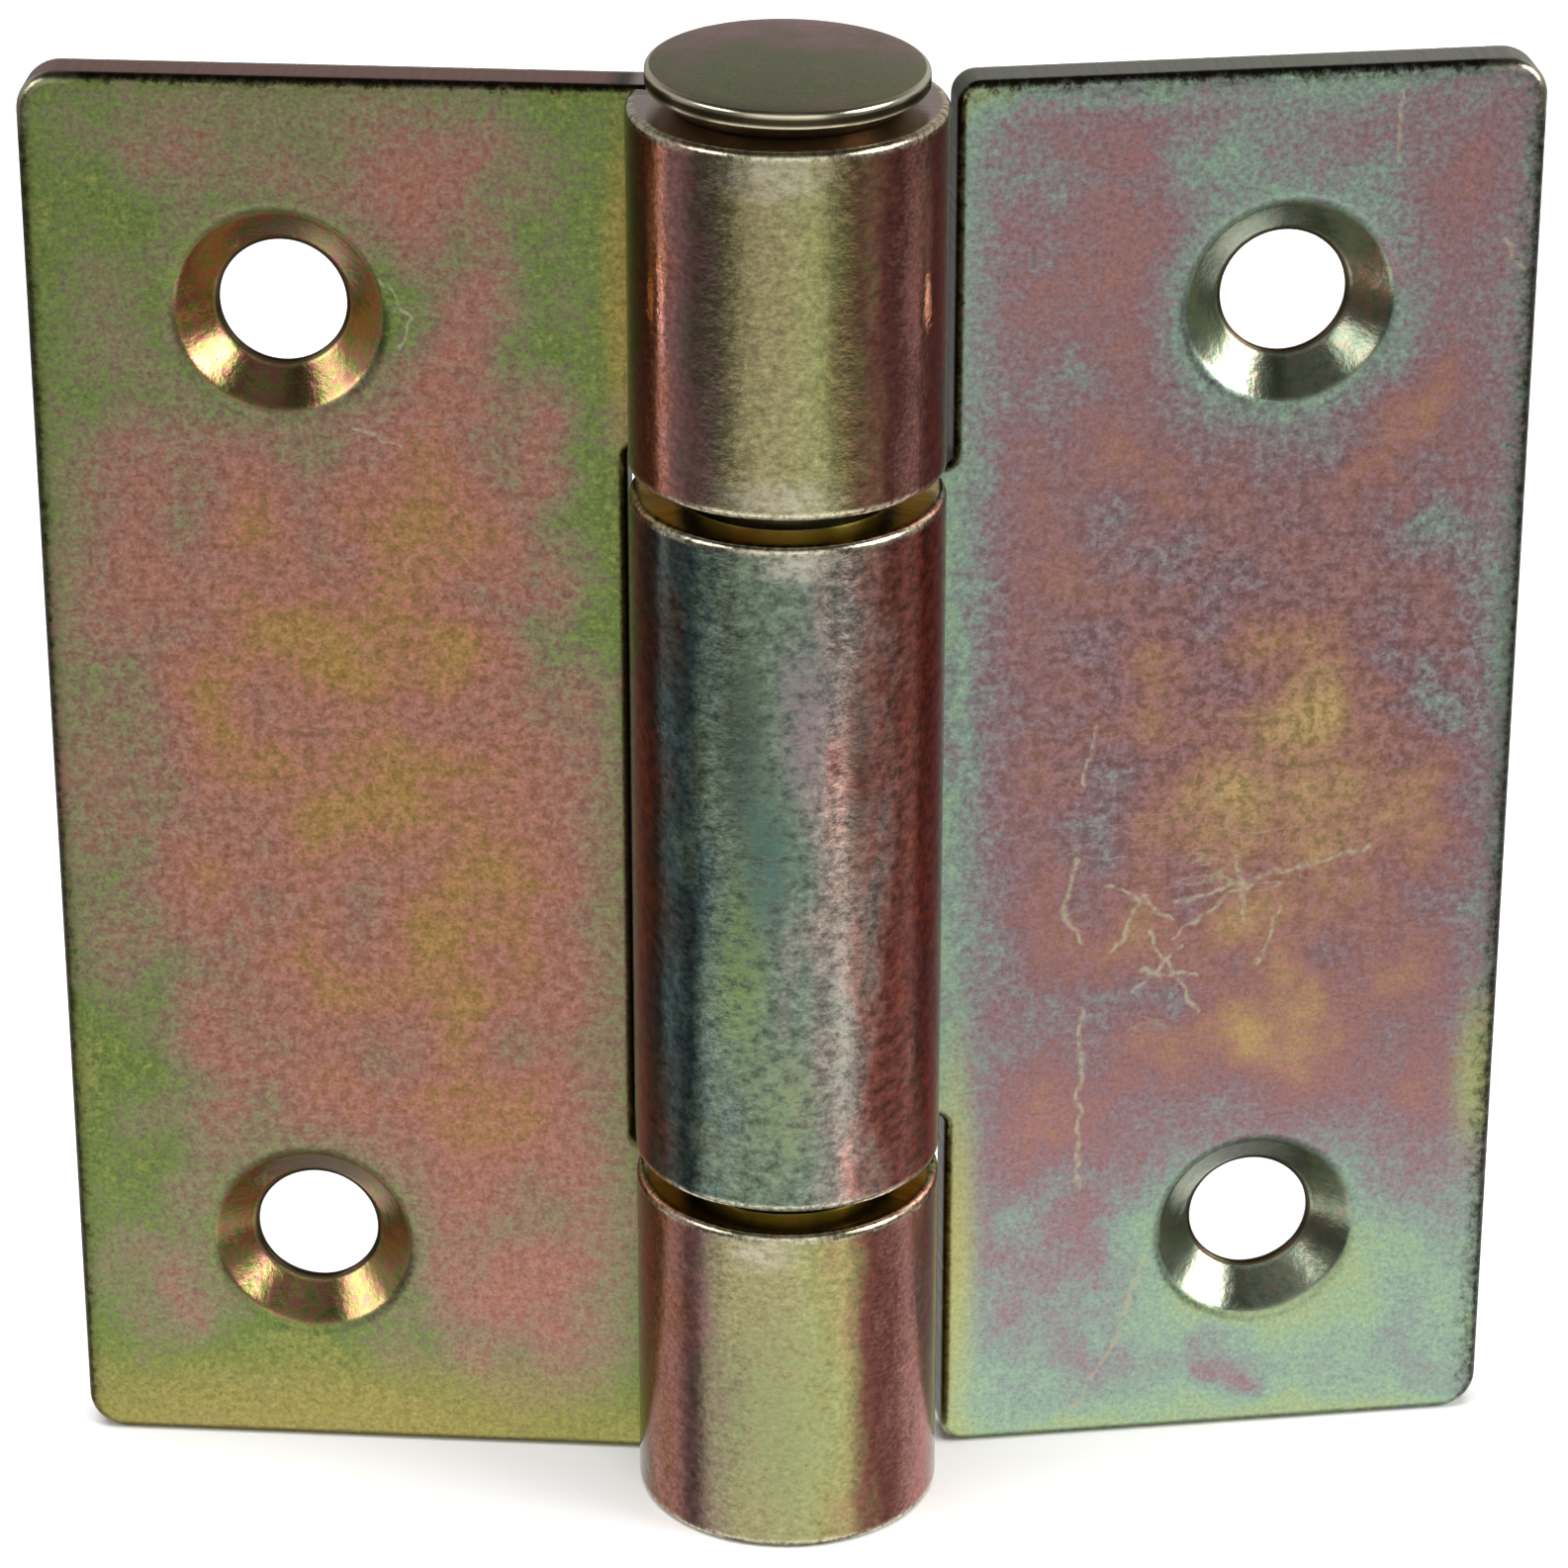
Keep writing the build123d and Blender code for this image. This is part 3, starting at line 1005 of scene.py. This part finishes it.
def edged(add, leaf, look, colour):
    """The colours of cut edges, rolled edges, holes and rims, laid over a colour."""
    # the ends of the knuckles are painted light for the light they catch in the narrow gaps and
    # under the pin's head
    topmost = add(span, (leaf["height"], *upper_rim))
    end_face = layered(add, linear(look["end_face"]), (topmost, look["top_face"]))
    # painted shade on the cut edges where they run close by the barrel
    borders = [look["inner"] + reach for reach in shaded_reach]
    barrel_side_shade = add(span, (leaf["across"], *borders))
    barrel_side_shade = add(calc, (barrel_side_shade, leaf["flat"]), "MULTIPLY")
    wall = layered(add, linear(look["wall"]), (leaf["barrel"], end_face), (barrel_side_shade, soil_and_shade_dark))
    ragged = add(calc, (leaf["mottle"], 1.4, leaf["roll"]), "MULTIPLY_ADD")
    ragged = add(calc, (leaf["grain"], 1.0, ragged), "MULTIPLY_ADD")
    ragged = add(span, (ragged, *ragged_levels))
    sooty = add(span, (leaf["height"], *look["dark_edge"], *soot_levels))
    sooty = add(calc, (ragged, sooty), "MULTIPLY")
    turned = add(ramped, (add(span, (leaf["mottle"], *noise_range)),))
    draw_ramp(turned, look["sink"])
    rubbed = add(span, (leaf["texture"], *rub_levels))
    rubbed = add(calc, (leaf["rim"], rubbed), "MULTIPLY")
    return layered(
        add,
        colour,
        (leaf["wall"], wall),
        (sooty, soil_and_shade_dark),
        # the rolled corner painted bright as a glint
        (leaf["corner"], rubbed_zinc_and_glint),
        (leaf["sink"], turned),
        # the bore painted dark as shade
        (leaf["bore"], bore_shade),
        (rubbed, rubbed_zinc_and_glint),
    )


# %% [markdown]
# ## Gloss and relief
# Plated strip is half dull on the flat and smoother where the rolling tools burnished the barrel.
# A few polished spots there give the short glints. Turned cones, rubbed rims and the corner are
# smoother too. The relief is the grain on a slow orange peel, a few thousandths of a millimetre.

# %% Gloss and relief
flat_gloss = (0.29, 0.39)
barrel_gloss = (0.16, 0.22)
polished_size = (1.6, 2.8)
polished_gain = -0.15
relief_depth = 0.005 * mm
barrel_relief = 0.8 * relief_depth
peel_share = 3.0


def gloss(add, leaf, look):
    """The roughness of each place on a leaf."""
    rough = add(span, (leaf["fleck"], *noise_range, *flat_gloss))
    burnished = add(span, (leaf["mottle"], *noise_range, *barrel_gloss))
    for angle, height in look["polished"]:
        centre = (blank_place(angle, look), height)
        spot = patch(add, leaf["place"], centre, polished_size, polished_gain)
        burnished = add(calc, (burnished, spot), "ADD")
    smoother = {"barrel": burnished, "sink": 0.2, "rim": 0.2, "corner": 0.15}
    for title, value in smoother.items():
        rough = add(mix, (leaf[title], rough, value))
    return rough


def relief(add, leaf):
    """The bump of grain and orange peel."""
    height = add(calc, (leaf["peel"], peel_share, leaf["texture"]), "MULTIPLY_ADD")
    depth = add(mix, (leaf["barrel"], relief_depth, barrel_relief))
    return add("ShaderNodeBump", {"Distance": depth, "Height": height})


# %% [markdown]
# ## The whole finish on a leaf
# Zinc plate under chromate is a metal to the eye: the film tints what it mirrors. So the shader is
# fully metallic, and its base colour carries the film, the shade, the wear and the edges in turn.

# %% Leaf finish
def plated(name, paint, *given):
    """A metallic material whose colour, roughness and relief come from a painting function."""
    material = bpy.data.materials.new(name)
    material.use_nodes = True
    tree = material.node_tree
    tree.nodes.clear()
    add = partial(add_node, tree)
    colour, rough, bump = paint(add, *given)
    surface = {"Base Color": colour, "Metallic": 1.0, "Roughness": rough, "Normal": bump}
    shader = add("ShaderNodeBsdfPrincipled", surface)
    add("ShaderNodeOutputMaterial", {"Surface": shader})
    print(name, "has", len(tree.nodes), "nodes")
    return material


def paint_leaf(add, look):
    """Yellow chromate on a zinc plated leaf of rolled strip."""
    leaf = read_leaf(add, look)
    colour = film_colour(add, leaf, look)
    colour = add(vector, (colour, shading(add, leaf, look)), "SCALE")
    colour = worn(add, leaf, look, colour)
    colour = edged(add, leaf, look, colour)
    return colour, gloss(add, leaf, look), relief(add, leaf)


# %% [markdown]
# The two leaves share the recipe and differ in its numbers. Lengths are in millimetres on the flat
# blank. Patches have a centre, half sizes and what they add to the film. Stains have a tint and a
# strength as well. Marks on the barrel have an angle from the front, a height, half sizes and a
# tint. Strokes have a width and the points that they pass. `edge`, `side` and `hole` say how far
# the thick film reaches and how much it adds, and `cast` is where the leaf lies in the noises.
# Pairs such as `speckle`, `peened` and `dark_edge` are the low and the high end of a range.

# %% Frame leaf finish
frame_look = {
    "colours": frame_film,
    "bands": frame_bands,
    "wall": "#94685C",
    # knuckle ends painted light: gold in the gaps, mauve under the pin's head
    "end_face": "#CDB26A",
    "top_face": "#A8948A",
    "marks": (
        # the dark strips at -25 and 26 degrees are painted reflection of dark parts of the tent; the
        # grey marks are rubbed
        (-25, 43.0, (0.9, 11.0), "#66544E"),
        (26, 43.0, (0.9, 11.0), "#746A48"),
        (-2, 49.2, (2.6, 1.3), rubbed_grey),
        (2, 38.5, (2.6, 1.2), rubbed_grey),
        (-6, 11.4, (1.6, 1.0), rubbed_grey),
        (0, 5.0, (3.4, 9.0), "#848E64"),
    ),
    "peened": (0.82, 1.2),
    "stray": 0.11,
    "dark_edge": (14.0, 47.0),
    "drained": 0.22,
    "sink": ((0.0, "#808C4C"), (0.4, "#A89A62"), (0.65, "#B4825E"), (1.0, "#B07A74")),
    "polished": ((-49, 44.7), (61, 44.7)),
    "worn": 1.0,
    "side_sign": -1,
    "fold": 0.0,
    "cast": (13.0, 40.0, 0.0),
    "inner": frame_inner,
    "film": 0.40,
    "edge": (2.0, 0.36),
    "side": (1.6, 0.34),
    "hole": (1.0, 0.30),
    "mottle": ((14.0, 26.0), (30.0, 44.0), 0.78, 1.22),
    "grain": 0.28,
    "patches": (
        ((24.0, 44.0), (10.0, 14.0), 0.22),
        ((14.0, 29.0), (8.0, 10.0), -0.22),
        ((10.6, 21.6), (4.5, 4.5), -0.22),
        ((10.8, 14.5), (4.5, 4.5), -0.2),
        ((24.0, 13.0), (8.0, 10.0), 0.30),
        ((21.5, 46.5), (5.0, 4.5), 0.06),
        ((19.0, 1.0), (18.0, 7.0), 0.44),
        ((12.2, 41.8), (3.0, 4.0), 0.26),
        ((7.0, 44.0), (4.5, 9.0), 0.26),
        ((6.0, 35.0), (3.0, 11.0), 0.3),
    ),
    "speckle": (0.3, 0.42),
    "stains": (
        ((16.0, 0.5), (20.0, 4.5), "#96874E", 0.8),
        ((5.4, 43.0), (1.0, 9.0), "#A08448", 0.6),
    ),
    "scuffed": ((12.0, 41.0), (5.0, 6.0), 0.2),
    "strokes": (
        (0.09, (13.2, 43.4), (12.2, 42.0), (12.6, 41.0)),
        (0.11, (14.2, 38.2), (12.6, 37.6)),
    ),
}
frame_finish = plated("yellow_chromate_on_frame_leaf", paint_leaf, frame_look)

# %% [markdown]
# The door leaf is greyer, more pitted in its middle and more scratched. Its sooty edge runs all the
# way down, where the frame leaf has it only towards the top.

# %% Door leaf finish
door_look = {
    "colours": door_film,
    "bands": door_bands,
    "wall": "#8C8C7C",
    # knuckle ends painted light gold for the light they catch in the gaps
    "end_face": "#CDB25C",
    "top_face": "#CDB25C",
    "marks": (
        # the pale strip at 25 degrees is a painted highlight and the dark strips at -12 and 30
        # degrees are painted reflection; the others are rubbed or tinted
        (8, 36.3, (1.8, 1.0), rubbed_grey),
        (25, 20.0, (0.6, 6.0), "#A0A092"),
        (-12, 30.0, (1.1, 6.0), "#33423E"),
        (30, 29.0, (0.8, 6.0), "#5C4A40"),
        (-14, 22.0, (1.3, 6.0), "#70864E"),
        (10, 31.0, (1.2, 5.0), "#86727A"),
        (-3, 26.0, (1.3, 5.0), "#3E5E58"),
        (4, 17.0, (1.5, 4.0), "#7C8A62"),
    ),
    "peened": (0.52, 1.55),
    "stray": 0.17,
    "dark_edge": (-4.0, 12.0),
    "drained": 0.26,
    "sink": ((0.0, "#7C8A72"), (0.45, "#8E9A86"), (0.75, "#9A9A80"), (1.0, "#A09484")),
    "polished": ((26, 28.0), (-20, 20.0)),
    "worn": 1.5,
    "side_sign": 1,
    "fold": rest_fold,
    "cast": (57.0, 12.0, 0.0),
    "inner": door_inner,
    "film": 0.46,
    "edge": (0.85, 0.36),
    "side": (1.3, 0.42),
    "hole": (1.8, 0.34),
    "mottle": ((16.0, 28.0), (20.0, 20.0), 0.56, 1.07),
    "grain": 0.23,
    "patches": (
        ((17.0, 25.4), (8.5, 8.5), -0.30),
        ((16.4, 14.9), (4.5, 5.5), -0.30),
        ((20.2, 37.2), (3.6, 3.2), -0.26),
        ((15.0, 1.5), (18.0, 11.0), 0.28),
        ((15.4, 2.8), (2.5, 2.5), -0.25),
        ((22.0, 5.0), (6.0, 7.0), 0.16),
        ((22.5, 30.0), (4.5, 8.0), 0.12),
        ((16.0, 48.0), (9.0, 4.0), 0.1),
        ((11.5, 44.0), (2.4, 8.0), -0.08),
    ),
    "speckle": (0.1, 0.3),
    "stains": (
        ((5.9, 8.0), (1.3, 12.0), "#A5A060", 0.8),
        ((24.3, 13.5), (1.6, 5.0), "#A0A862", 0.7),
    ),
    "scuffed": ((14.0, 20.5), (9.0, 8.0), 0.5),
    "strokes": (
        (0.16, (10.0, 22.6), (9.5, 20.6), (10.2, 19.4)),
        (0.14, (12.3, 21.0), (11.3, 18.9)),
        (0.14, (12.5, 19.7), (14.2, 16.5)),
        (0.13, (13.3, 19.4), (15.7, 21.2)),
        (0.17, (13.3, 20.7), (20.0, 22.4)),
        (0.13, (15.4, 22.3), (15.7, 19.9)),
        (0.13, (17.0, 20.3), (16.2, 18.2)),
        (0.13, (12.2, 18.2), (14.2, 17.9)),
        (0.13, (11.0, 21.6), (13.3, 20.1)),
        (0.13, (11.9, 17.4), (13.6, 19.0)),
        (0.13, (10.5, 27.4), (10.1, 25.3)),
        (0.15, (10.2, 16.9), (10.2, 10.0)),
        (0.15, (12.6, 7.0), (11.7, 3.8), (9.9, 0.5)),
        (0.13, (19.9, 49.2), (19.9, 46.8)),
        (0.13, (23.6, 43.9), (24.2, 42.8)),
    ),
}
door_finish = plated("yellow_chromate_on_door_leaf", paint_leaf, door_look)

# %% [markdown]
# ## The finish of the pin
# The pin is plated like the leaves, but drawn and struck smooth. Its head is grey green with a
# mauve bloom towards the back. The thin rim is painted bright as two highlights, with a line of
# painted shade in its middle.

# %% Pin finish
pin_film = (
    (0.0, "#B08682"),
    (0.3, "#947468"),
    (0.5, "#7E7A54"),
    (0.7, "#70784E"),
    (1.0, "#868652"),
)
back_bloom = (0.0, 4.5, 0.12, -0.5)  # from the middle to the back, what it adds to the film
pin_shades = (0.8, 1.2)
pin_relief = 0.004 * mm


def paint_pin(add):
    """Yellow chromate on a zinc plated pin."""
    place = add("ShaderNodeTexCoord").node.outputs["Object"]
    place = add(vector, (place, 1 / mm), "SCALE")
    cloud = add(noise, {"Vector": place, "Scale": 0.45, "Detail": 5.0, "Roughness": 0.65})
    parts = add(split, (place,)).node.outputs
    back = add(span, (parts["Y"], *back_bloom))
    film = add(calc, (cloud, 1.5, back), "MULTIPLY_ADD")
    grain = add(noise, {"Vector": place, "Scale": 6.0, "Detail": 3.0, "Roughness": 0.7})
    film = add(calc, (grain, 0.4, film), "MULTIPLY_ADD")
    film = add(calc, (film, 0.45), "SUBTRACT")
    ramp = add(ramped, (film,))
    draw_ramp(ramp, pin_film)
    shade = add(span, (grain, *noise_range, *pin_shades))
    colour = add(vector, (ramp, shade), "SCALE")
    # the rim is painted bright as two highlights, with a line of painted shade between them
    rim = add("ShaderNodeAttribute", attribute_name="rim").node.outputs["Fac"]
    shade_line = add("ShaderNodeAttribute", attribute_name="shade_line").node.outputs["Fac"]
    shade_line = add(calc, (shade_line, 0.9), "MULTIPLY")
    colour = layered(add, colour, (rim, rubbed_zinc_and_glint), (shade_line, soil_and_shade_dark))
    rough = add(mix, (rim, 0.3, 0.17))
    bump = add("ShaderNodeBump", {"Distance": pin_relief, "Height": grain})
    return colour, rough, bump


pin_finish = plated("yellow_chromate_on_pin", paint_pin)

# %% [markdown]
# ## The two leaves
# The frame leaf carries the two end knuckles and lies to the left. The door leaf carries the long
# middle knuckle and is folded back by some twelve degrees.

# %% Leaves
frame_blank = make_blank("frame_blank", frame_knuckles, frame_inner)
frame_leaf = roll_leaf("chromate_frame_leaf", frame_blank, frame_finish, Side=-1.0)
door_blank = make_blank("door_blank", door_knuckles, door_inner)
door_leaf = roll_leaf("chromate_door_leaf", door_blank, door_finish, Fold=rest_fold)

# %% [markdown]
# ## The loose pin
# The pin is cold headed wire: a straight shank under a thin round head whose underside slopes down
# to the shank. It is a turned shape, so a list of radii and heights is spun round the axis. The
# head is a shade out of square, as struck heads are.

# %% Pin profile
pin_radius = 3.25
head_radius = 4.5
head_top = 51.3
head_crown = 0.1
head_round = 0.18
under_slope = math.radians(35)
seat_clearance = 0.03
seat = leaf_height + seat_clearance / math.cos(under_slope)
neck = seat - (bore_radius + edge_roll - pin_radius) * math.tan(under_slope)
rim_bottom = neck + (head_radius - pin_radius) * math.tan(under_slope)
tip = 0.5
tip_ease = 0.7
shank_step = 4.0
crown_steps = 8
crown_rise = 0.04
# where the line of painted shade lies on the rim
shade_line_shares = (0.3, 0.75)  # of the rim's height, where its dark line begins and ends


def pin_profile():
    """Radius, height and zone along the pin from its lower end to the crown of its head."""
    rim_top = head_top - head_crown
    tip_radius = pin_radius - tip_ease / 2
    low, high = tip + tip_ease + hold, neck - hold
    points = [(tip_radius - hold, tip), (tip_radius, tip), (pin_radius, tip + tip_ease)]
    points += [(pin_radius, z) for z in (low, *even_steps(low, high, shank_step), high, neck)]
    root = Vector((pin_radius, neck))
    under, over = Vector((head_radius, rim_bottom)), Vector((head_radius, rim_top))
    points.append(tuple(root + (under - root).normalized() * hold))
    lower = corner_arc(under, root, over, head_round, 5)
    upper = corner_arc(over, under, Vector((0, rim_top + crown_rise)), head_round, 6)
    shade_line = [lower[-1].lerp(upper[0], share) for share in shade_line_shares]
    rim = ((lower, "rim"), (shade_line, "shade_line"), (upper[:-1], "rim"), (upper[-1:], ""))
    profile = [(*point, "") for point in points]
    profile += [(p.x, p.y, zone) for run, zone in rim for p in run]
    for i in range(1, crown_steps + 1):
        radius = upper[-1].x * (1 - i / (crown_steps + 1))
        profile.append((radius, head_top - head_crown * (radius / head_radius) ** 2, ""))
    return profile


print("pin profile of", len(pin_profile()), "rings")

# %% [markdown]
# The rings are spun round the axis and both ends are closed with a fan of triangles. Only the head
# is leaned.

# %% Pin
pin_steps = 144
head_lean = (-0.016, 0.020)
lean_rise = 0.3


def make_pin(name, material):
    """Spin the pin's profile, lean its head and close both ends."""
    mesh = bmesh.new()
    layers = {zone: mesh.verts.layers.float.new(zone) for zone in ("rim", "shade_line")}
    rings = []
    for radius, height, zone in pin_profile():
        places = [(radius * x, radius * y, height) for x, y in circle(pin_steps)]
        rings.append(add_ring(mesh, places, layers, zone))
    skin(mesh, rings)
    for ring, height in ((rings[0], tip), (rings[-1], head_top)):
        centre = mesh.verts.new((0, 0, height))
        for i in range(pin_steps):
            mesh.faces.new((ring[i - 1], ring[i], centre))
    for vert in mesh.verts:
        lift = max(0.0, min(1.0, (vert.co.z - rim_bottom + head_round) / lean_rise))
        vert.co.z += lift * (head_lean[0] * vert.co.x + head_lean[1] * vert.co.y)
    bmesh.ops.recalc_face_normals(mesh, faces=mesh.faces)
    data = to_data(name, mesh)
    data.materials.append(material)
    pin = bpy.data.objects.new(name, data)
    scene.collection.objects.link(pin)
    return pin


loose_pin = make_pin("chromate_loose_pin", pin_finish)

# %% [markdown]
# ## Floor and light
# A plain pale floor, a large soft lamp above it, and a tent of light all round. Metal shows what
# stands about it, so the tent is bright in front and falls off to the sides: that gives the barrel
# its dark flanks. The floor takes the shadow, and the metal mirrors the tent.

# %% Floor
floor_material = bpy.data.materials.new("pale_studio_floor")
floor_material.use_nodes = True
floor_shader = floor_material.node_tree.nodes["Principled BSDF"]
floor_shader.inputs["Base Color"].default_value = linear("#F4F4F3")
floor_shader.inputs["Roughness"].default_value = 0.9
floor_shader.inputs["Specular IOR Level"].default_value = 0.0
bpy.ops.mesh.primitive_plane_add(size=6.0, location=(0, 0, 0))
floor = bpy.context.object
floor.name = "studio_floor"
floor.data.materials.append(floor_material)
floor.visible_glossy = False

# %% [markdown]
# The tent is drawn in nodes: levels of light round the horizon, by azimuth from the front in
# degrees, times levels by height. There are two rows of walls because the upper knuckle mirrors
# higher parts of the tent than the lower one does.

# %% Tent of light
world = bpy.data.worlds.new("light_tent")
world.use_nodes = True
scene.world = world
tent = world.node_tree
tent.nodes.clear()
add = partial(add_node, tent)
direction = add("ShaderNodeTexCoord").node.outputs["Generated"]
parts = add(split, (direction,)).node.outputs
facing = add(calc, (parts["Y"], -1.0), "MULTIPLY")
azimuth = add(calc, (parts["X"], facing), "ARCTAN2")
around = add(span, (azimuth, -math.pi, math.pi))
upper_walls = (
    (-180, 0.38), (-125, 0.36), (-105, 0.38), (-84, 0.46), (-76, 0.42), (-64, 0.15), (-42, 0.12),
    (-34, 0.3), (-26, 0.68), (-15, 0.97), (0, 1.0), (22, 1.1), (30, 1.0), (36, 0.46), (42, 0.18),
    (56, 0.19), (64, 0.42), (76, 0.34), (88, 0.2), (102, 0.45), (180, 0.5),
)
lower_walls = (
    (-180, 0.5), (-120, 0.45), (-104, 0.42), (-92, 0.46), (-82, 0.14), (-69, 0.12), (-61, 0.8),
    (-53, 0.98), (0, 1.0), (22, 1.1), (50, 1.1), (55, 1.0), (61, 0.55), (76, 0.46), (88, 0.34),
    (102, 0.5), (120, 0.55), (138, 0.62), (160, 0.62), (180, 0.55),
)
height_levels = (
    (-1.0, 0.4), (-0.82, 0.6), (-0.7, 1.0), (-0.56, 1.6), (-0.44, 1.22), (-0.36, 0.94),
    (-0.28, 0.78), (-0.1, 0.8), (0.1, 1.2), (0.42, 1.2), (0.64, 0.5), (0.85, 0.15),
)
wall_border = (-0.36, -0.46)  # sine of the elevation where the lower walls take over
upper, lower = add(ramped, (around,)), add(ramped, (around,))
for ramp, levels in ((upper, upper_walls), (lower, lower_walls)):
    draw_ramp(ramp, [((angle + 180) / 360, level) for angle, level in levels], "LINEAR")
sinking = add(span, (parts["Z"], *wall_border))
walls = add(mix, (sinking, upper, lower))
heights = add(ramped, (add(span, (parts["Z"], -1.0, 1.0)),))
draw_ramp(heights, [((height + 1) / 2, level) for height, level in height_levels], "LINEAR")
light = add(calc, (walls, heights), "MULTIPLY")

# %% [markdown]
# A few small panels in the tent give the glints on the flanks of the barrel and in the
# countersinks. Each is a soft round spot: azimuth, elevation and radius in degrees, and a level.

# %% Panels
panels = (
    (-98, -20, 3, 3.0),
    (131, -20, 4, 6.0),
    (46, -26, 5, 1.0),
    (76, 26, 22, 11.0),
    (-58, 28, 20, 4.0),
    (-98, -57, 20, 1.0),
    (116, -57, 20, 1.3),
)
for bearing, lift, radius, level in panels:
    bearing, lift = math.radians(bearing), math.radians(lift)
    flat = math.cos(lift)
    aim = (flat * math.sin(bearing), -flat * math.cos(bearing), math.sin(lift))
    near = add(vector, (direction, aim), "DOT_PRODUCT")
    edge = math.cos(math.radians(radius))
    ends = (near, edge, 1.0, 0.0, level)
    glow = add(span, ends, interpolation_type="SMOOTHSTEP")
    light = add(calc, (light, glow), "ADD")
background = add("ShaderNodeBackground", {"Color": light, "Strength": 1.0})
add("ShaderNodeOutputWorld", {"Surface": background})

# %% [markdown]
# One large soft lamp overhead lays the pale shadow on the floor. The metal does not mirror it.

# %% Lamp
lamp_data = bpy.data.lights.new("overhead_softbox", "AREA")
lamp_data.shape = "RECTANGLE"
lamp_data.size = 0.8
lamp_data.size_y = 0.8
lamp_data.energy = 9.0
lamp = bpy.data.objects.new("overhead_softbox", lamp_data)
lamp.location = (-0.1, -0.05, 0.8)
lamp.visible_glossy = False
scene.collection.objects.link(lamp)

# %% [markdown]
# ## Joining the frame
# Each piece stands for its solid, which is hidden, and is parented to an empty for that solid's
# body.

# %% Finish
for piece, node, body, slot in (
    (frame_leaf, "frame_leaf", "frame_side", "frame_leaf_finish"),
    (door_leaf, "door_leaf", "door_side", "door_leaf_finish"),
    (loose_pin, "loose_pin", "pin", "pin_finish"),
):
    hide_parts(node)
    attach(piece, body)
